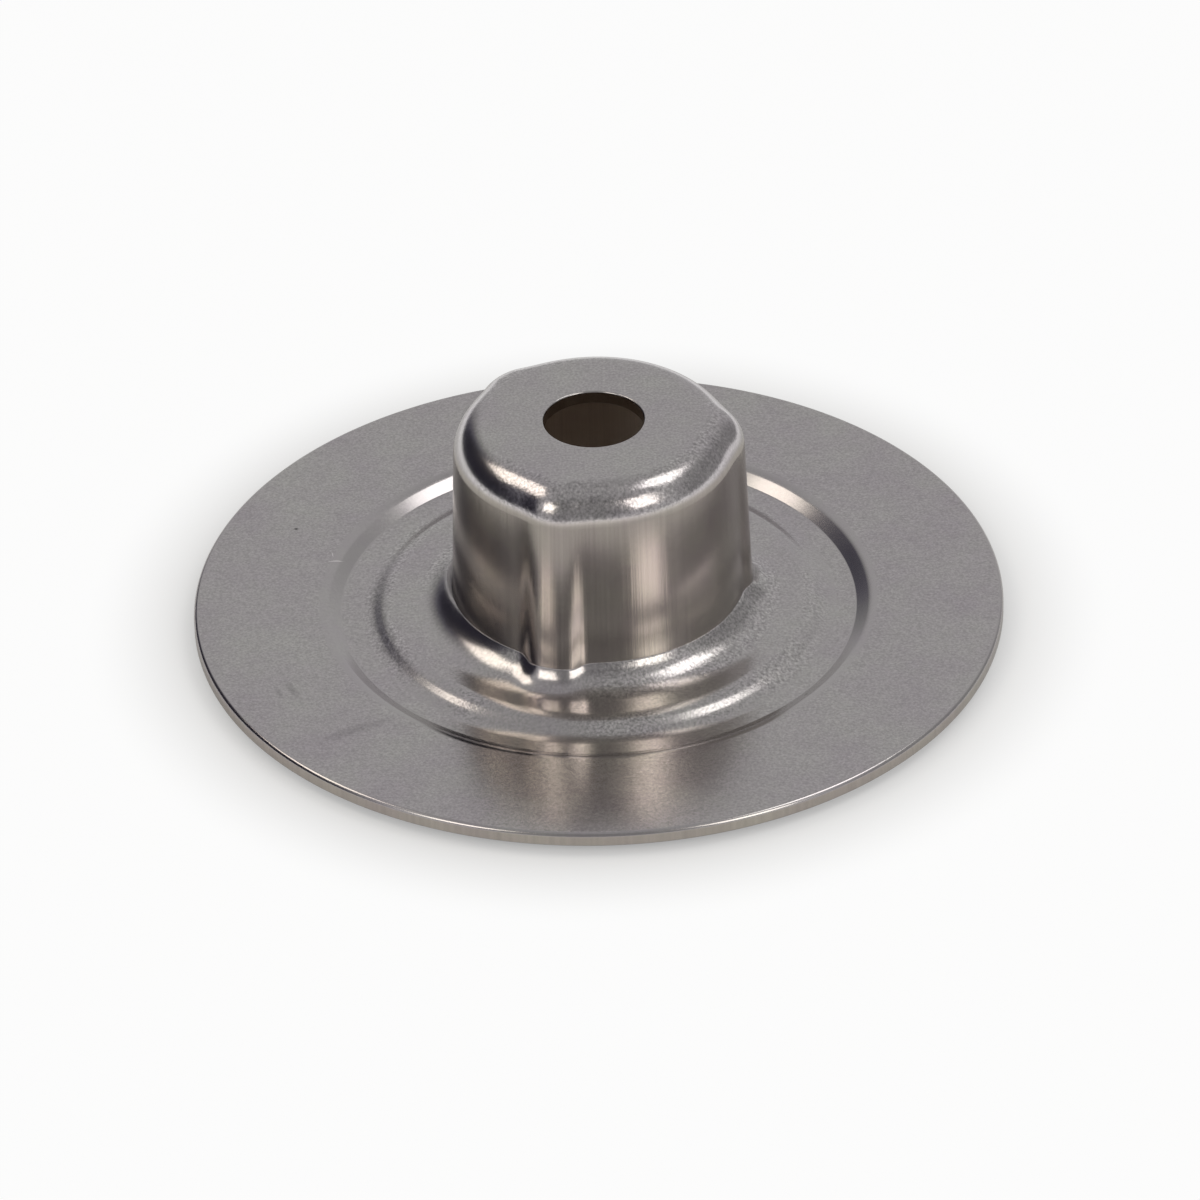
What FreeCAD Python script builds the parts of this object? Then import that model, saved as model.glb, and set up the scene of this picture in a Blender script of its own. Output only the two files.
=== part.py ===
import FreeCAD, Part
import math
import os

# Flanged cup washer, pressed in one piece from flat sheet.
# Millimetres. Z = 0 is the plane that the washer stands on, and the Z axis is the axis of its hole.

# Sheet and flange
sheet = 1.2                    # thickness of the blank
flange_diameter = 70.0
rim_roll_radius = 0.4          # top edge rolled over by the blanking punch

# Cup
cup_rise = 18.3                # top of the cup above the top of the flange
head_bend_radius = 2.0         # inside radius between wall and cup top
hole_diameter = 8.6

# Wall outline, which has three lobes, blunt at the foot and round at the head, and narrows
lobe_count = 3
lobe_turn = 11.0               # direction of the first lobe, degrees from +X
foot_wall_radius = 12.7        # reach of the faces between the lobes, at the flange underside
foot_lobe_height = 1.28        # how far a lobe stands out there
foot_lobe_spread = 9.0         # degrees from a lobe's middle to half its height
foot_lobe_bluntness = 2.0      # power that flattens the lobe's end
head_wall_radius = 11.95       # the same four at the level of the cup top
head_lobe_height = 0.58
head_lobe_spread = 10.5
head_lobe_bluntness = 1.0

# Foot, where the lobed wall meets, in a crease, a flare that runs out round
foot_rise = 3.1                # height over which the flare would turn upright
foot_spread = 3.5              # from the faces' reach to the round end of the flare
foot_crease_inset = 0.42       # how far behind the cup wall the flare would turn upright

# Pressed ring groove in the flange, as widths of its profile from the flare outwards
groove_land = 2.0              # level part between flare and groove
groove_inner_slope = 1.9
groove_floor = 2.2
groove_outer_slope = 1.5
groove_depth = 0.9
groove_inner_lip_radius = 2.2  # inside radii of the lips, which are on the underside
groove_outer_lip_radius = 0.8
groove_inner_root_radius = 3.9 # inside radii of the roots, which are on top
groove_outer_root_radius = 0.4

lobe_steps = 24                # points along the smooth outline of one lobe
lobe_crowding = 0.6            # how much closer together those points are at the lobe's middle
bend_steps = 8                 # sections of a lofted bend
overrun = 5.0                  # how far cutting shapes reach past the metal

flange_underside = groove_depth
flange_top = flange_underside + sheet
cup_top = flange_top + cup_rise
head_outer_radius = head_bend_radius + sheet
foot_reach = foot_wall_radius + foot_spread
groove_start = foot_reach + groove_land
# The crease thins the foot's bend, and this much less rise below keeps one sheet in its middle.
crease_thinning = foot_crease_inset / (2.0 - math.sqrt(2.0))
lobe_pitch = 2.0 * math.pi / lobe_count
wall_draft = math.atan2(foot_wall_radius - head_wall_radius, cup_top - flange_underside)
upright = 0.0
level = math.pi / 2.0


def lobed_reach(face, lobe, spread, bluntness, angle):
    """Radius of a lobed outline in one direction, and its rate of change with the angle."""
    turn = lobe_count * (angle - math.radians(lobe_turn))
    half_height = 1.0 - math.cos(lobe_count * math.radians(spread))
    away = (1.0 - math.cos(turn)) / half_height
    swell = lobe * 0.5 ** (away ** bluntness)
    fall = bluntness * away ** (bluntness - 1.0) * math.log(2.0) * swell
    slope = -fall * lobe_count * math.sin(turn) / half_height
    return face + swell, slope


def wall_point(height, inset, angle):
    """Point of the wall outline that belongs to a height, moved square to the wall by the inset."""
    share = (height - flange_underside) / (cup_top - flange_underside)
    foot, foot_slope = lobed_reach(foot_wall_radius, foot_lobe_height, foot_lobe_spread,
                                   foot_lobe_bluntness, angle)
    head, head_slope = lobed_reach(head_wall_radius, head_lobe_height, head_lobe_spread,
                                   head_lobe_bluntness, angle)
    radius = foot + share * (head - foot)
    slope = foot_slope + share * (head_slope - foot_slope)
    length = math.hypot(radius, slope)
    forward = radius - inset * radius / length
    sideways = inset * slope / length
    return (forward * math.cos(angle) - sideways * math.sin(angle),
            forward * math.sin(angle) + sideways * math.cos(angle))


def wall_outline(height, inset, z, share=0.0, reach=0.0):
    """Closed smooth wire with the wall's outline at a height, inset and drawn at level z.

    It can be drawn a share of the way from there to a circle with a reach. It has one edge for
    each lobe, and the edges join at the middle of the faces.
    """
    edges = []
    end_pace = lobe_pitch * (1.0 + 2.0 * lobe_crowding)
    for lobe in range(lobe_count):
        middle = math.radians(lobe_turn) + lobe * lobe_pitch
        points = []
        for i in range(lobe_steps + 1):
            step = 2.0 * i / lobe_steps - 1.0
            angle = middle + lobe_pitch / 2.0 * step * (1.0 - lobe_crowding * (1.0 - step ** 2))
            x, y = wall_point(height, inset, angle)
            points.append(FreeCAD.Vector(x + share * (reach * math.cos(angle) - x),
                                         y + share * (reach * math.sin(angle) - y), z))
        curve = Part.BSplineCurve()
        curve.interpolate(Points=points,
                          Parameters=[i / lobe_steps for i in range(lobe_steps + 1)],
                          InitialTangent=FreeCAD.Vector(-points[0].y, points[0].x, 0) * end_pace,
                          FinalTangent=FreeCAD.Vector(-points[-1].y, points[-1].x, 0) * end_pace,
                          Scale=False)
        edges.append(curve.toShape())
    return Part.Wire(edges)


def straight_wall(bottom, top, inset):
    """Tapering solid inside the wall between two heights."""
    return Part.makeLoft([wall_outline(bottom, inset, bottom), wall_outline(top, inset, top)],
                         True, True)


def head_bend(height, inset, radius):
    """Lofted solid whose side leaves the wall at a height in an arc and ends level, further in."""
    base = height - radius * math.sin(wall_draft)
    sections = []
    for i in range(bend_steps + 1):
        turn = wall_draft + (level - wall_draft) * i / bend_steps
        shift = radius * (math.cos(wall_draft) - math.cos(turn))
        sections.append(wall_outline(height, inset + shift, base + radius * math.sin(turn)))
    return Part.makeLoft(sections, True, False)


def foot_flare(height, inset, steepness, base, rise, reach):
    """Lofted solid whose side leaves the lobed wall in an arc and ends level on a circle."""
    sections = []
    for i in range(bend_steps + 1):
        turn = steepness + (level - steepness) * i / bend_steps
        share = 1.0 - math.cos(turn) / math.cos(steepness)
        z = base + rise * (1.0 - math.sin(turn))
        sections.append(wall_outline(height, inset, z, share, reach))
    return Part.makeLoft(sections, True, False)


def turned(corners):
    """Solid turned about the Z axis from a closed profile of corners (reach, height, round)."""
    rounds = []
    for before, here, after in zip(corners[-1:] + corners, corners, corners[1:] + corners[:1]):
        corner = FreeCAD.Vector(here[0], 0, here[1])
        back = FreeCAD.Vector(before[0], 0, before[1]).sub(corner).normalize()
        ahead = FreeCAD.Vector(after[0], 0, after[1]).sub(corner).normalize()
        half = back.getAngle(ahead) / 2.0
        middle = corner + (back + ahead).normalize() * (here[2] / math.sin(half) - here[2])
        reach = here[2] / math.tan(half)
        rounds.append((corner + back * reach, middle, corner + ahead * reach))
    edges = []
    for i in range(len(corners)):
        edges.append(Part.LineSegment(rounds[i - 1][2], rounds[i][0]).toShape())
        if corners[i][2] > 0.0:
            edges.append(Part.Arc(*rounds[i]).toBSpline().toShape())
    face = Part.Face(Part.Wire(edges))
    return face.revolve(FreeCAD.Vector(0, 0, 0), FreeCAD.Vector(0, 0, 1), 360)


def groove_corners(drop):
    """Corners of the ring groove from the axis outwards, for a skin a drop under the top one."""
    flat = flange_top - drop
    floor = flat - groove_depth
    inner_shift = drop * math.tan(math.atan2(groove_depth, groove_inner_slope) / 2.0)
    outer_shift = drop * math.tan(math.atan2(groove_depth, groove_outer_slope) / 2.0)
    inner_top = groove_start - inner_shift
    inner_bottom = inner_top + groove_inner_slope
    outer_bottom = groove_start + groove_inner_slope + groove_floor + outer_shift
    outer_top = outer_bottom + groove_outer_slope
    return [(inner_top, flat, groove_inner_lip_radius + sheet - drop),
            (inner_bottom, floor, groove_inner_root_radius + drop),
            (outer_bottom, floor, groove_outer_root_radius + drop),
            (outer_top, flat, groove_outer_lip_radius + sheet - drop)]


def flange_form():
    """Everything under the flange's top skin, with the rolled rim, down past the standing plane."""
    rim = flange_diameter / 2.0
    return turned([(0.0, -overrun, 0.0), (0.0, flange_top, 0.0)]
                  + groove_corners(0.0)
                  + [(rim, flange_top, rim_roll_radius), (rim, -overrun, 0.0)])


def flange_hollow():
    """Everything under the flange's lower skin, past the rim and the standing plane."""
    reach = flange_diameter / 2.0 + overrun
    return turned([(0.0, -overrun, 0.0), (0.0, flange_underside, 0.0)]
                  + groove_corners(sheet)
                  + [(reach, flange_underside, 0.0), (reach, -overrun, 0.0)])


def outer_form():
    """Everything under the outer skin: flange, creased foot, wall and rounded head."""
    shoulder = cup_top - head_outer_radius * (1.0 - math.sin(wall_draft))
    wall = straight_wall(flange_underside, shoulder, 0.0)
    head = head_bend(shoulder, 0.0, head_outer_radius)
    flare = foot_flare(flange_top, foot_crease_inset, upright, flange_top, foot_rise, foot_reach)
    return flange_form().fuse([flare, wall, head])


def inner_form():
    """Everything under the inner skin, one sheet inside the outer one, with a smooth foot."""
    ceiling = cup_top - sheet
    rise = foot_rise + sheet - crease_thinning
    reach = foot_reach + foot_crease_inset - crease_thinning
    shoulder = ceiling - head_bend_radius * (1.0 - math.sin(wall_draft))
    ankle = flange_underside + rise * (1.0 - math.sin(wall_draft))
    wall = straight_wall(ankle, shoulder, sheet)
    head = head_bend(shoulder, sheet, head_bend_radius)
    flare = foot_flare(ankle, sheet, wall_draft, flange_underside, rise, reach)
    return flange_hollow().fuse([flare, wall, head])


def washer():
    """The pressed washer, one sheet between its two forms, with its hole."""
    hole = Part.makeCylinder(hole_diameter / 2.0, cup_top + overrun)
    return outer_form().cut(inner_form()).cut(hole).removeSplitter()


os.makedirs("parts", exist_ok=True)
part = washer()
print("solids", len(part.Solids), "valid", part.isValid(), "volume", round(part.Volume, 2))
print("box", part.BoundBox)
part.Solids[0].exportStep("parts/washer.step")
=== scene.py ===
import bmesh
import bpy
import math
from mathutils import Matrix, Vector


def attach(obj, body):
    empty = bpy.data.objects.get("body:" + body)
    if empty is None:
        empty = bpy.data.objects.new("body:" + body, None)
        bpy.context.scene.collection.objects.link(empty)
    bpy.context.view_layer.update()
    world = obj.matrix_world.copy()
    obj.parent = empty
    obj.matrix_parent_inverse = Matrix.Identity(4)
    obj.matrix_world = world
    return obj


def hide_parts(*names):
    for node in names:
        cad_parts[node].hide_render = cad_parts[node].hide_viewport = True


# Flanged cup washer, pressed in one piece from satin stainless sheet.

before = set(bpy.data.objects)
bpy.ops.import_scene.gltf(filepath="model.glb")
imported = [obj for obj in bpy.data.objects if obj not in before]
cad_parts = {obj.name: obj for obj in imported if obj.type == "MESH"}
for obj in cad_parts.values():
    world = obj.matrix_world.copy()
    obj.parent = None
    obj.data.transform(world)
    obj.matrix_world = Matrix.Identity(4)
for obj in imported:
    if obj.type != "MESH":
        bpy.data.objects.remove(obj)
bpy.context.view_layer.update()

MM = 0.001
MICRON = 1e-6
CLOSE = 0.001                  # millimetres under which two places are the same

# Sizes of the washer in millimetres, the same as the solid's
SHEET = 1.2
RIM = 35.0
RIM_ROLL = 0.4
CUP_RISE = 18.3
HEAD_BEND = 2.0
HOLE = 4.3
HOLE_ROLL = 0.15
BURR = 0.08

# Direction of each lobe, and how far it stands out at the foot and at the head. The photographed
# washer's lobes came out of the press a little uneven.
LOBES = ((math.radians(3.1), 0.82, 0.78), (math.radians(131.8), 1.05, 0.48),
         (math.radians(251.9), 1.24, 0.60))
FOOT_WALL, FOOT_SPREAD, FOOT_BLUNTNESS = 12.68, math.radians(9.4), 2.0
HEAD_WALL, HEAD_SPREAD, HEAD_BLUNTNESS = 11.97, math.radians(10.5), 1.0

FOOT_RISE = 3.1
FOOT_REACH = FOOT_WALL + 3.5
CREASE_INSET = 0.42
CREASE_THINNING = CREASE_INSET / (2.0 - math.sqrt(2.0))

GROOVE_DEPTH = 0.9
GROOVE_INNER_TOP = FOOT_REACH + 2.0
GROOVE_INNER_BOTTOM = GROOVE_INNER_TOP + 1.9
GROOVE_OUTER_BOTTOM = GROOVE_INNER_BOTTOM + 2.2
GROOVE_OUTER_TOP = GROOVE_OUTER_BOTTOM + 1.5
INNER_LIP, OUTER_LIP = 2.2, 0.8
INNER_ROOT, OUTER_ROOT = 3.9, 0.4

UNDERSIDE = GROOVE_DEPTH
FLANGE_TOP = UNDERSIDE + SHEET
CUP_TOP = FLANGE_TOP + CUP_RISE
CEILING = CUP_TOP - SHEET
DRAFT = math.atan2(FOOT_WALL - HEAD_WALL, CUP_TOP - UNDERSIDE)
OUTER_SHOULDER = CUP_TOP - (HEAD_BEND + SHEET) * (1.0 - math.sin(DRAFT))
INNER_SHOULDER = CEILING - HEAD_BEND * (1.0 - math.sin(DRAFT))
UNDER_RISE = FOOT_RISE + SHEET - CREASE_THINNING
UNDER_REACH = FOOT_REACH + CREASE_INSET - CREASE_THINNING
ANKLE = UNDERSIDE + UNDER_RISE * (1.0 - math.sin(DRAFT))

# Small marks on the flange: x, y, half length, half width, direction in degrees, change of shade
MARKS = ((-26.35, 11.65, 0.26, 0.20, 0.0, -0.8), (17.43, -14.83, 0.22, 0.20, 0.0, -0.7),
         (-22.78, 6.63, 0.9, 0.10, 20.0, 0.7), (-23.1, 7.5, 0.5, 0.07, 100.0, 0.5),
         (-26.3, -12.9, 1.9, 0.5, -66.0, -0.2), (-27.4, -13.3, 1.3, 0.35, -70.0, -0.16),
         (-20.9, -19.1, 4.8, 0.9, 28.0, -0.15), (8.2, 27.3, 0.25, 0.18, 30.0, -0.5))
MARK_HEIGHT = 3.0

# Size of the Z of a face's normal over which it is a flat, and under which it is the wall
FLAT_FROM, FLAT_FULL = 0.985, 0.999
WALL_FROM, WALL_FULL = 0.36, 0.16
# Reach in millimetres inside which bends are stretched in full, and how much outside it
STRETCH_OUTER, STRETCH_INNER, STRETCH_OUTSIDE = 21.5, 19.5, 0.15
STRETCH_LEAST, STRETCH_MOST = 0.45, 1.5

# Fineness of the patterns, in cells a metre, and around the wall in cells a radian
FINE_GRAIN, BROAD_GRAIN = (900.0, 5500.0, 5500.0), (200.0, 1100.0, 1100.0)
MARKS_AROUND, MARKS_UPRIGHT = 70.0, 40.0
SPECKLE_CELLS, SAND_CELLS, MOTTLE_CELLS, PATCH_CELLS = 3900.0, 4600.0, 160.0, 110.0

# Steel, lighter and darker by mottling, and a painted warm reflection that tints the upright wall
LAVENDER_STEEL, BEIGE_STEEL = (0.50, 0.462, 0.482), (0.54, 0.524, 0.508)
PAINTED_WALL_SHEEN = (1.0, 0.97, 0.89)
ROUGHNESS, FLAT_ROUGHER, WALL_ROUGHER, MOTTLE_ROUGHER = 0.19, 0.02, 0.01, 0.10
# Height in micrometres, and share of the steel's shade, that each pattern adds
GRAIN_HEIGHT, GRAIN_SHADE = 1.5, 0.22
MARKS_HEIGHT, MARKS_SHADE = 8.5, 0.38
SPECKLE_HEIGHT, SPECKLE_SHADE = 7.0, 1.15
SAND_SHADE = 0.62

WHITE = (1.0, 1.0, 1.0)
# Table: half its width in metres, its paint, its share of white far off and near the washer, as
# the camera sees it and as the metal mirrors it, and the painted brown glow under the cup, seen
# through the hole. Each pair gives the distances from the axis over which one of these changes.
TABLE_REACH, TABLE_PAINT, TABLE_ROUGHNESS = 1.5, (0.86, 0.86, 0.86), 0.9
FAR_WHITE, NEAR_WHITE, NEAR_MIRRORED = 0.94, 0.05, 0.045
SEEN_NEAR, SEEN_FAR = 27.0, 45.0
MIRRORED_NEAR, MIRRORED_FAR = 45.0, 130.0
HOLE_GLOW_BROWN, HOLE_GLOW_NEAR, HOLE_GLOW_FAR = (0.75, 0.5, 0.32), 18.0, 30.0

# Room: its light, the bluish tint of its dark parts, and where that starts and ends
ROOM_LEVEL = 0.52
BLUISH, BLUISH_LEVEL, WHITE_LEVEL = (0.72, 0.68, 1.0), 0.04, 0.26
LIGHT_DISTANCE = 0.7           # metres

# Camera: degrees, and its distance and shift in rim radii from the middle of the flange
CAMERA_ELEVATION, CAMERA_ROLL = 34.432, 1.541
CAMERA_DISTANCE, CAMERA_ACROSS, CAMERA_UPWARD = 20.0, 0.004, -0.010
LENS, SENSOR = 242.76, 36.0

COLUMNS = 360
FLARE_ROWS = 18
CREASE_STEP = math.radians(0.2)
LONGEST_EDGES = (4.0, 1.6, 0.9)
FACE_MIDDLE = math.radians(190.0)


def share_up(z):
    """How far a height is up the cup, from 0 at the flange's underside to 1 at the cup's top."""
    return (z - UNDERSIDE) / (CUP_TOP - UNDERSIDE)


def face_reach(z):
    """Reach of the faces between the lobes at a height."""
    return FOOT_WALL + share_up(z) * (HEAD_WALL - FOOT_WALL)


def swell(lobe, spread, bluntness, turn):
    """How far a lobe stands out at a turn away from it, and its rate of change with the turn."""
    half_height = 1.0 - math.cos(spread)
    away = (1.0 - math.cos(turn)) / half_height
    out = lobe * 0.5 ** (away ** bluntness)
    fall = bluntness * away ** (bluntness - 1.0) * math.log(2.0) * out
    return out, -fall * math.sin(turn) / half_height


def lobed_reach(angle, z):
    """Reach of the lobed wall in one direction at a height, and its change with the angle."""
    share = share_up(z)
    reach, slope = face_reach(z), 0.0
    for middle, foot_lobe, head_lobe in LOBES:
        foot, foot_slope = swell(foot_lobe, FOOT_SPREAD, FOOT_BLUNTNESS, angle - middle)
        head, head_slope = swell(head_lobe, HEAD_SPREAD, HEAD_BLUNTNESS, angle - middle)
        reach += foot + share * (head - foot)
        slope += foot_slope + share * (head_slope - foot_slope)
    return reach, slope


def wall_point(angle, height, inset, z):
    """Point of the wall's outline of a height, moved square to it by the inset, at level z."""
    reach, slope = lobed_reach(angle, height)
    length = math.hypot(reach, slope)
    out = reach - inset * reach / length
    along = inset * slope / length
    return Vector((out * math.cos(angle) - along * math.sin(angle),
                   out * math.sin(angle) + along * math.cos(angle), z))


def flare_point(angle, height, inset, steepness, base, rise, reach, turn):
    """Point of a flare that leaves the wall steep and runs out level on a circle."""
    share = 1.0 - math.cos(turn) / math.cos(steepness)
    start = wall_point(angle, height, inset, 0.0)
    point = start.lerp(Vector((reach * math.cos(angle), reach * math.sin(angle), 0.0)), share)
    point.z = base + rise * (1.0 - math.sin(turn))
    return point


def top_flare(angle, turn):
    """Point of the foot's top skin."""
    return flare_point(angle, FLANGE_TOP, CREASE_INSET, 0.0, FLANGE_TOP, FOOT_RISE,
                       FOOT_REACH, turn)


def crease_turn(angle):
    """Turn of the top flare at which it comes out through the wall."""
    turn = 0.0
    point = top_flare(angle, turn)
    while math.hypot(point.x, point.y) < lobed_reach(math.atan2(point.y, point.x), point.z)[0]:
        turn += CREASE_STEP
        point = top_flare(angle, turn)
    return turn


def round_corner(bm, corner, radius, segments):
    """Rounds one corner of the drawn profile."""
    sides = [(e.other_vert(corner).co - corner.co).normalized() for e in corner.link_edges]
    half = sides[0].angle(sides[1]) / 2.0
    bmesh.ops.bevel(bm, geom=[corner], offset=radius / math.tan(half), offset_type="OFFSET",
                    affect="VERTICES", segments=segments, profile=0.5, material=-1)


def draw_profile(bm, crease_z):
    """Closed half section of the sheet in the XZ plane, with its round bends but straight feet."""
    outer_slope = math.atan2(GROOVE_DEPTH, GROOVE_OUTER_TOP - GROOVE_OUTER_BOTTOM)
    inner_slope = math.atan2(GROOVE_DEPTH, GROOVE_INNER_BOTTOM - GROOVE_INNER_TOP)
    outer_shift = SHEET * math.tan(outer_slope / 2.0)
    inner_shift = SHEET * math.tan(inner_slope / 2.0)
    valley = FLANGE_TOP - GROOVE_DEPTH
    # reach, height, radius of the round, its segments
    corners = [
        (HOLE, CEILING, BURR, 3),
        (HOLE, CUP_TOP, HOLE_ROLL, 5),
        (face_reach(CUP_TOP), CUP_TOP, HEAD_BEND + SHEET, 24),
        (face_reach(crease_z), crease_z, 0.0, 0),
        (FOOT_REACH, FLANGE_TOP, 0.0, 0),
        (GROOVE_INNER_TOP, FLANGE_TOP, INNER_LIP + SHEET, 10),
        (GROOVE_INNER_BOTTOM, valley, INNER_ROOT, 10),
        (GROOVE_OUTER_BOTTOM, valley, OUTER_ROOT, 5),
        (GROOVE_OUTER_TOP, FLANGE_TOP, OUTER_LIP + SHEET, 8),
        (RIM, FLANGE_TOP, RIM_ROLL, 7),
        (RIM, UNDERSIDE, BURR, 3),
        (GROOVE_OUTER_TOP + outer_shift, UNDERSIDE, OUTER_LIP, 5),
        (GROOVE_OUTER_BOTTOM + outer_shift, 0.0, OUTER_ROOT + SHEET, 7),
        (GROOVE_INNER_BOTTOM - inner_shift, 0.0, INNER_ROOT + SHEET, 8),
        (GROOVE_INNER_TOP - inner_shift, UNDERSIDE, INNER_LIP, 7),
        (UNDER_REACH, UNDERSIDE, 0.0, 0),
        (face_reach(ANKLE) - SHEET, ANKLE, 0.0, 0),
        (face_reach(CEILING) - SHEET, CEILING, HEAD_BEND, 12),
    ]
    points = [bm.verts.new((c[0], 0.0, c[1])) for c in corners]
    runs = [bm.edges.new(pair) for pair in zip(points, points[1:] + points[:1])]
    top_foot, under_foot = runs[3], runs[15]
    for point, c in zip(points, corners):
        if c[3]:
            round_corner(bm, point, c[2], c[3])
    bmesh.ops.subdivide_edges(bm, edges=[top_foot, under_foot], cuts=FLARE_ROWS - 1)
    # Long edges are halved again and again, so that flats and walls get no long thin faces.
    for longest in LONGEST_EDGES:
        long_edges = [e for e in bm.edges if e.calc_length() > longest]
        bmesh.ops.subdivide_edges(bm, edges=long_edges, cuts=1)


def press_cup(bm, crease_z):
    """Moves the round cup out into its three lobes and bends its straight feet into flares."""
    creases = [crease_turn(2.0 * math.pi * i / COLUMNS) for i in range(COLUMNS)]
    flat_start = HOLE + HOLE_ROLL
    for v in bm.verts:
        reach = math.hypot(v.co.x, v.co.y)
        angle = math.atan2(v.co.y, v.co.x)
        on_top = v.normal.z + v.normal.dot(Vector((v.co.x, v.co.y, 0.0)).normalized()) > 0.0
        column = round(angle * COLUMNS / (2.0 * math.pi)) % COLUMNS
        shoulder = OUTER_SHOULDER if on_top else INNER_SHOULDER
        ankle = crease_z if on_top else ANKLE
        base = FLANGE_TOP if on_top else UNDERSIDE
        bend = HEAD_BEND + SHEET if on_top else HEAD_BEND
        on_flange = v.co.z <= base + CLOSE and reach > face_reach(base) - 0.5 * SHEET
        if reach <= flat_start or on_flange:
            continue
        if v.co.z < ankle - CLOSE:
            part = (ankle - v.co.z) / (ankle - base)
            first = creases[column] if on_top else DRAFT
            turn = first + (math.pi / 2.0 - first) * part
            if on_top:
                v.co = top_flare(angle, turn)
            else:
                v.co = flare_point(angle, ANKLE, SHEET, DRAFT, UNDERSIDE, UNDER_RISE,
                                   UNDER_REACH, turn)
        elif v.co.z < shoulder:
            low = top_flare(angle, creases[column]).z if on_top else ANKLE
            z = shoulder - (shoulder - v.co.z) * (shoulder - low) / (shoulder - ankle)
            v.co = wall_point(angle, z, 0.0 if on_top else SHEET, z)
        else:
            flat_end = face_reach(shoulder) - bend * math.cos(DRAFT) - (0.0 if on_top else SHEET)
            held = max(reach, flat_end)
            there = wall_point(angle, shoulder, face_reach(shoulder) - held, v.co.z)
            shift = there - Vector((held * math.cos(angle), held * math.sin(angle), v.co.z))
            v.co += shift * min((reach - flat_start) / (flat_end - flat_start), 1.0)


def even_shading(mesh):
    """Lets large faces rule the shading, so that flats stay flat beside small rolls."""
    normals = [Vector() for v in mesh.vertices]
    for face in mesh.polygons:
        weighted = face.normal * face.area
        for i in face.vertices:
            normals[i] += weighted
    mesh.normals_split_custom_set_from_vertices([n.normalized() for n in normals])


def pressed_washer(steel):
    """The whole washer: the section turned about its axis, then pressed into lobes."""
    bm = bmesh.new()
    crease_z = top_flare(FACE_MIDDLE, crease_turn(FACE_MIDDLE)).z
    draw_profile(bm, crease_z)
    bmesh.ops.spin(bm, geom=bm.verts[:] + bm.edges[:], cent=(0.0, 0.0, 0.0), axis=(0.0, 0.0, 1.0),
                   angle=2.0 * math.pi, steps=COLUMNS, use_merge=True)
    bmesh.ops.remove_doubles(bm, verts=bm.verts[:], dist=CLOSE)
    bmesh.ops.recalc_face_normals(bm, faces=bm.faces[:])
    bm.normal_update()
    press_cup(bm, crease_z)
    bmesh.ops.recalc_face_normals(bm, faces=bm.faces[:])
    bmesh.ops.scale(bm, verts=bm.verts[:], vec=(MM, MM, MM))
    for face in bm.faces:
        face.smooth = True
    mesh = bpy.data.meshes.new("satin_washer")
    bm.to_mesh(mesh)
    bm.free()
    even_shading(mesh)
    piece = bpy.data.objects.new("satin_washer", mesh)
    bpy.context.scene.collection.objects.link(piece)
    mesh.materials.append(steel)
    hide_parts("washer")
    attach(piece, "root")


def node_group(name, inputs, outputs):
    """Empty shader group with named sockets, and its two end nodes."""
    group = bpy.data.node_groups.new(name, "ShaderNodeTree")
    for title, kind in inputs:
        group.interface.new_socket(title, in_out="INPUT", socket_type=kind)
    for title, kind in outputs:
        group.interface.new_socket(title, in_out="OUTPUT", socket_type=kind)
    return group, group.nodes.new("NodeGroupInput"), group.nodes.new("NodeGroupOutput")


def maths(tree, operation, first, second=None, clamp=False):
    """Math node on sockets or numbers, as its output socket."""
    node = tree.nodes.new("ShaderNodeMath")
    node.operation = operation
    node.use_clamp = clamp
    for i, value in enumerate((first, second)):
        if value is None:
            continue
        if isinstance(value, (int, float)):
            node.inputs[i].default_value = value
        else:
            tree.links.new(value, node.inputs[i])
    return node.outputs[0]


def total(tree, *values):
    """Sum of several sockets or numbers, as a socket."""
    result = values[0]
    for value in values[1:]:
        result = maths(tree, "ADD", result, value)
    return result


def vector_maths(tree, operation, vector, second=None):
    """Vector Math node on a vector socket and a second socket or vector."""
    node = tree.nodes.new("ShaderNodeVectorMath")
    node.operation = operation
    tree.links.new(vector, node.inputs[0])
    if isinstance(second, (tuple, Vector)):
        node.inputs[1].default_value = second
    elif second is not None:
        tree.links.new(second, node.inputs[1])
    return node


def reach_of(tree, vector):
    """Length of a vector, as a socket."""
    return vector_maths(tree, "LENGTH", vector).outputs["Value"]


def stretched(tree, vector, scale):
    """Vector scaled by its own factor on each axis."""
    return vector_maths(tree, "MULTIPLY", vector, scale).outputs[0]


def two_colours(tree, value, low, low_colour, high, high_colour):
    """Colour that runs from one to another between two values, as a socket."""
    ramp = tree.nodes.new("ShaderNodeValToRGB")
    for i, (position, colour) in enumerate(((low, low_colour), (high, high_colour))):
        ramp.color_ramp.elements[i].position = position
        ramp.color_ramp.elements[i].color = (*colour, 1.0)
    tree.links.new(value, ramp.inputs["Fac"])
    return ramp.outputs["Color"]


def ramp_between(tree, value, low, high, to_low=0.0, to_high=1.0):
    """Smooth step of a value from one number to another, as an output socket."""
    node = tree.nodes.new("ShaderNodeMapRange")
    node.interpolation_type = "SMOOTHSTEP"
    tree.links.new(value, node.inputs["Value"])
    for title, number in (("From Min", low), ("From Max", high),
                          ("To Min", to_low), ("To Max", to_high)):
        node.inputs[title].default_value = number
    return node.outputs["Result"]


def noise(tree, vector, scale, detail=2.0, roughness=0.5):
    """Noise over a vector, as its value socket."""
    node = tree.nodes.new("ShaderNodeTexNoise")
    tree.links.new(vector, node.inputs["Vector"])
    node.inputs["Scale"].default_value = scale
    node.inputs["Detail"].default_value = detail
    node.inputs["Roughness"].default_value = roughness
    return node.outputs["Fac"]


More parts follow.
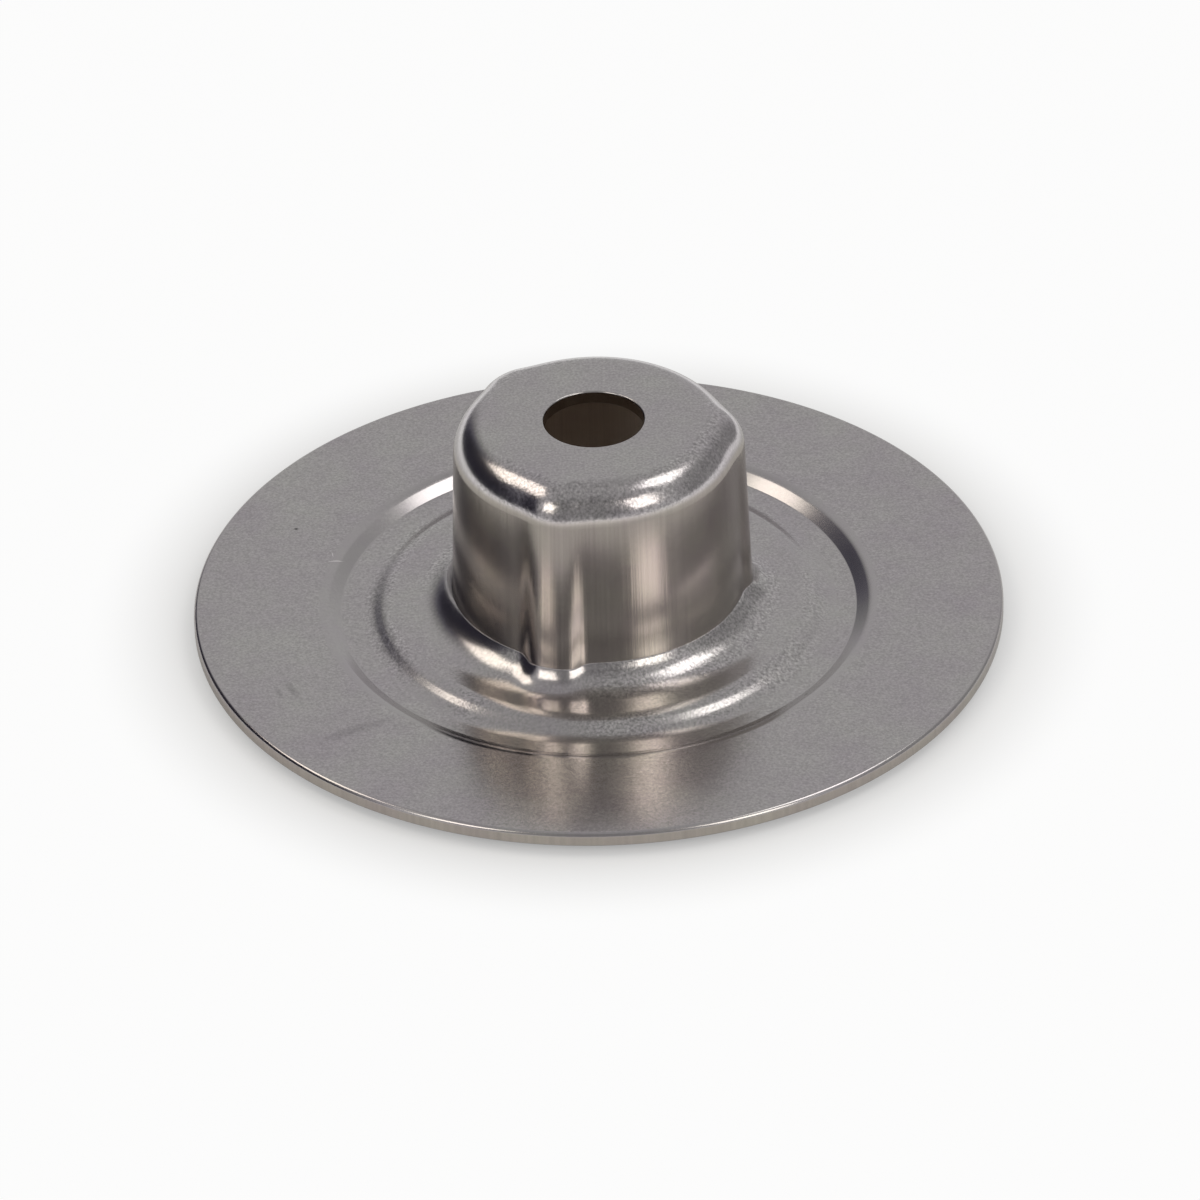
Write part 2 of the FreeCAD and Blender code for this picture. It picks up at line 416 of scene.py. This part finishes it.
def streak(tree, here, x, y, length, width, turn):
    """Mask of a soft-ended mark on the flange, in millimetres and turned by degrees."""
    held = tree.nodes.new("ShaderNodeMapping")
    held.vector_type = "TEXTURE"
    held.inputs["Location"].default_value = (x * MM, y * MM, FLANGE_TOP * MM)
    held.inputs["Rotation"].default_value = (0.0, 0.0, math.radians(turn))
    held.inputs["Scale"].default_value = (length * MM, width * MM, MARK_HEIGHT * MM)
    tree.links.new(here, held.inputs["Vector"])
    return ramp_between(tree, reach_of(tree, held.outputs[0]), 1.0, 0.2)


def rolling_grain_group():
    """Short fine lines that the sheet's rolling left along X."""
    group, start, end = node_group("rolling_grain", [("Place", "NodeSocketVector")],
                                   [("Lines", "NodeSocketFloat")])
    place = start.outputs["Place"]
    fine = noise(group, stretched(group, place, FINE_GRAIN), 1.0, 3.0, 0.6)
    broad = noise(group, stretched(group, place, BROAD_GRAIN), 1.0, 2.0)
    both = total(group, maths(group, "MULTIPLY", fine, 0.7), maths(group, "MULTIPLY", broad, 0.3))
    group.links.new(both, end.inputs["Lines"])
    return group


def drawing_marks_group():
    """Upright scratches that the die left on the cup wall."""
    group, start, end = node_group("drawing_marks", [("Place", "NodeSocketVector")],
                                   [("Lines", "NodeSocketFloat")])
    place = start.outputs["Place"]
    around = vector_maths(group, "NORMALIZE", stretched(group, place, (1.0, 1.0, 0.0)))
    joined = vector_maths(group, "MULTIPLY_ADD", around.outputs[0],
                          (MARKS_AROUND, MARKS_AROUND, 0.0))
    group.links.new(stretched(group, place, (0.0, 0.0, MARKS_UPRIGHT)), joined.inputs[2])
    group.links.new(noise(group, joined.outputs[0], 1.0, 2.0, 0.6), end.inputs["Lines"])
    return group


def satin_steel():
    """Satin stainless steel, grained on the flats, drawn on the wall and speckled on the bends."""
    material = bpy.data.materials.new("satin_steel")
    material.use_nodes = True
    tree = material.node_tree
    shader = tree.nodes["Principled BSDF"]
    shader.inputs["Metallic"].default_value = 1.0
    place = tree.nodes.new("ShaderNodeTexCoord")
    here = place.outputs["Object"]
    facing = tree.nodes.new("ShaderNodeSeparateXYZ")
    tree.links.new(place.outputs["Normal"], facing.inputs[0])
    tilt = maths(tree, "ABSOLUTE", facing.outputs["Z"])
    flat = ramp_between(tree, tilt, FLAT_FROM, FLAT_FULL)
    wall = ramp_between(tree, tilt, WALL_FROM, WALL_FULL)
    bent = maths(tree, "SUBTRACT", maths(tree, "SUBTRACT", 1.0, flat), wall, clamp=True)
    # The cup and its foot stretch most, and unevenly, and the bends further out hardly do.
    out = reach_of(tree, stretched(tree, here, (1.0, 1.0, 0.0)))
    near = ramp_between(tree, out, STRETCH_OUTER * MM, STRETCH_INNER * MM, STRETCH_OUTSIDE)
    patchy = ramp_between(tree, noise(tree, here, PATCH_CELLS, 1.0), 0.38, 0.62,
                          STRETCH_LEAST, STRETCH_MOST)
    stretch = maths(tree, "MULTIPLY", maths(tree, "MULTIPLY", bent, near), patchy)

    lines = []
    for group in (rolling_grain_group(), drawing_marks_group()):
        node = tree.nodes.new("ShaderNodeGroup")
        node.node_tree = group
        tree.links.new(here, node.inputs["Place"])
        lines.append(node.outputs["Lines"])
    grain, marks = lines
    speckle = noise(tree, here, SPECKLE_CELLS, 2.0, 0.6)
    sand = noise(tree, here, SAND_CELLS, 1.0, 0.5)
    mottle = noise(tree, here, MOTTLE_CELLS, 4.0, 0.6)

    def part_of(value, mask, weight):
        """A noise around zero, under a mask and with a weight."""
        masked = maths(tree, "MULTIPLY", maths(tree, "SUBTRACT", value, 0.5), mask)
        return maths(tree, "MULTIPLY", masked, weight)

    height = total(tree, part_of(grain, flat, GRAIN_HEIGHT), part_of(marks, wall, MARKS_HEIGHT),
                   part_of(speckle, stretch, SPECKLE_HEIGHT))
    bump = tree.nodes.new("ShaderNodeBump")
    bump.inputs["Distance"].default_value = MICRON
    tree.links.new(height, bump.inputs["Height"])
    tree.links.new(bump.outputs["Normal"], shader.inputs["Normal"])

    uneven = maths(tree, "MULTIPLY", maths(tree, "SUBTRACT", mottle, 0.5), MOTTLE_ROUGHER)
    rough = total(tree, ROUGHNESS, maths(tree, "MULTIPLY", flat, FLAT_ROUGHER),
                  maths(tree, "MULTIPLY", wall, WALL_ROUGHER), uneven)
    tree.links.new(rough, shader.inputs["Roughness"])

    gain = total(tree, 1.0, part_of(speckle, stretch, SPECKLE_SHADE),
                 part_of(marks, wall, MARKS_SHADE), part_of(grain, flat, GRAIN_SHADE),
                 part_of(sand, flat, SAND_SHADE))
    for x, y, length, width, turn, change in MARKS:
        mark = streak(tree, here, x, y, length, width, turn)
        gain = total(tree, gain, maths(tree, "MULTIPLY", mark, change))
    tint = two_colours(tree, mottle, 0.3, LAVENDER_STEEL, 0.7, BEIGE_STEEL)
    # The upright wall gets a painted warm reflection: a warmer tint for the warm lamps it mirrors.
    painted_sheen = two_colours(tree, wall, 0.0, WHITE, 1.0, PAINTED_WALL_SHEEN)
    sheened_tint = vector_maths(tree, "MULTIPLY", tint, painted_sheen)
    colour = vector_maths(tree, "SCALE", sheened_tint.outputs[0])
    tree.links.new(gain, colour.inputs["Scale"])
    tree.links.new(colour.outputs[0], shader.inputs["Base Color"])
    return material


def white_table():
    """Pale table that shows as white, to the camera and in the metal, and keeps the shadow."""
    bm = bmesh.new()
    bmesh.ops.create_grid(bm, x_segments=1, y_segments=1, size=TABLE_REACH)
    mesh = bpy.data.meshes.new("table")
    bm.to_mesh(mesh)
    bm.free()
    table = bpy.data.objects.new("table", mesh)
    bpy.context.scene.collection.objects.link(table)
    material = bpy.data.materials.new("white_table")
    material.use_nodes = True
    tree = material.node_tree
    shader = tree.nodes["Principled BSDF"]
    shader.inputs["Base Color"].default_value = (*TABLE_PAINT, 1.0)
    shader.inputs["Roughness"].default_value = TABLE_ROUGHNESS
    place = tree.nodes.new("ShaderNodeTexCoord")
    away = reach_of(tree, place.outputs["Object"])
    seen = tree.nodes.new("ShaderNodeLightPath")
    # The white fades out near the washer, where the lit table takes the shadow.
    direct = maths(tree, "MULTIPLY", seen.outputs["Is Camera Ray"],
                   ramp_between(tree, away, SEEN_NEAR * MM, SEEN_FAR * MM, NEAR_WHITE, FAR_WHITE))
    through = maths(tree, "ADD", seen.outputs["Is Glossy Ray"],
                    seen.outputs["Is Transmission Ray"], clamp=True)
    mirrored = maths(tree, "MULTIPLY", through,
                     ramp_between(tree, away, MIRRORED_NEAR * MM, MIRRORED_FAR * MM,
                                  NEAR_MIRRORED, FAR_WHITE))
    share = maths(tree, "ADD", direct, mirrored, clamp=True)
    glow = tree.nodes.new("ShaderNodeEmission")
    # Painted glow: under the cup the table glows faintly brown, which shows through the hole as its
    # dark brown.
    tree.links.new(two_colours(tree, away, HOLE_GLOW_NEAR * MM, HOLE_GLOW_BROWN, HOLE_GLOW_FAR * MM, WHITE),
                   glow.inputs["Color"])
    blend = tree.nodes.new("ShaderNodeMixShader")
    tree.links.new(share, blend.inputs[0])
    tree.links.new(shader.outputs[0], blend.inputs[1])
    tree.links.new(glow.outputs[0], blend.inputs[2])
    tree.links.new(blend.outputs[0], tree.nodes["Material Output"].inputs["Surface"])
    mesh.materials.append(material)


def direction(azimuth, elevation):
    """Unit vector towards an azimuth from +X and an elevation, in degrees."""
    a, e = math.radians(azimuth), math.radians(elevation)
    return Vector((math.cos(a) * math.cos(e), math.sin(a) * math.cos(e), math.sin(e)))


def studio_room():
    """Grey room around the table, with dimmer parts that are bluish where they are darkest."""
    world = bpy.data.worlds.new("studio")
    bpy.context.scene.world = world
    world.use_nodes = True
    tree = world.node_tree
    ray = tree.nodes.new("ShaderNodeTexCoord").outputs["Generated"]
    level = None
    # azimuth, elevation, degrees to the end of the patch and of its full depth, share of light kept
    for azimuth, elevation, edge, core, kept in ((160.0, 2.0, 57.0, 33.0, 0.07),
                                                 (0.0, 90.0, 48.0, 20.0, 0.78),
                                                 (266.0, 32.0, 46.0, 18.0, 0.55),
                                                 (14.0, 10.0, 48.0, 20.0, 0.60)):
        dot = vector_maths(tree, "DOT_PRODUCT", ray, direction(azimuth, elevation))
        patch = ramp_between(tree, dot.outputs["Value"], math.cos(math.radians(edge)),
                             math.cos(math.radians(core)), 1.0, kept)
        level = patch if level is None else maths(tree, "MULTIPLY", level, patch)
    level = maths(tree, "MULTIPLY", level, ROOM_LEVEL)
    tree.links.new(level, tree.nodes["Background"].inputs["Strength"])
    tree.links.new(two_colours(tree, level, BLUISH_LEVEL, BLUISH, WHITE_LEVEL, WHITE),
                   tree.nodes["Background"].inputs["Color"])


def softbox(name, azimuth, elevation, width, height, radiance, colour):
    """Rectangular soft light aimed at the washer, in degrees and metres, with its brightness."""
    data = bpy.data.lights.new(name, "AREA")
    data.shape = "RECTANGLE"
    data.size = width
    data.size_y = height
    data.color = colour
    data.energy = radiance * width * height * math.pi
    lamp = bpy.data.objects.new(name, data)
    towards = direction(azimuth, elevation)
    turn = towards.to_track_quat("Z", "Y").to_matrix().to_4x4()
    lamp.matrix_world = Matrix.Translation(towards * LIGHT_DISTANCE) @ turn
    bpy.context.scene.collection.objects.link(lamp)


def studio_light():
    """Four soft boxes, two in front of the washer and two higher up beside it."""
    studio_room()
    softbox("front_left", 229.0, 36.0, 0.24, 0.30, 2.1, (1.0, 0.95, 0.84))
    softbox("front_right", 310.0, 34.0, 0.24, 0.36, 2.2, (1.0, 0.955, 0.88))
    softbox("upper_right", 10.0, 61.0, 0.28, 0.25, 2.1, (1.0, 0.98, 0.95))
    softbox("upper_left", 164.0, 50.0, 0.30, 0.25, 1.95, (1.0, 0.92, 0.79))


def photograph_camera():
    """Camera at the photograph's place, turned and framed as it was."""
    elevation, roll = math.radians(CAMERA_ELEVATION), math.radians(CAMERA_ROLL)
    right = Vector((1.0, 0.0, 0.0))
    back = Vector((0.0, -math.cos(elevation), math.sin(elevation)))
    up = back.cross(right)
    across = math.cos(roll) * right - math.sin(roll) * up
    upward = math.sin(roll) * right + math.cos(roll) * up
    away = CAMERA_DISTANCE * back + CAMERA_ACROSS * across + CAMERA_UPWARD * upward
    place = Vector((0.0, 0.0, FLANGE_TOP)) + RIM * away
    data = bpy.data.cameras.new("camera")
    data.sensor_width = SENSOR
    data.lens = LENS
    data.clip_start = 0.01
    camera = bpy.data.objects.new("camera", data)
    turn = Matrix((across, upward, back)).transposed().to_4x4()
    camera.matrix_world = Matrix.Translation(place * MM) @ turn
    bpy.context.scene.collection.objects.link(camera)
    bpy.context.scene.camera = camera


bpy.context.scene.view_settings.view_transform = "Standard"
pressed_washer(satin_steel())
white_table()
studio_light()
photograph_camera()
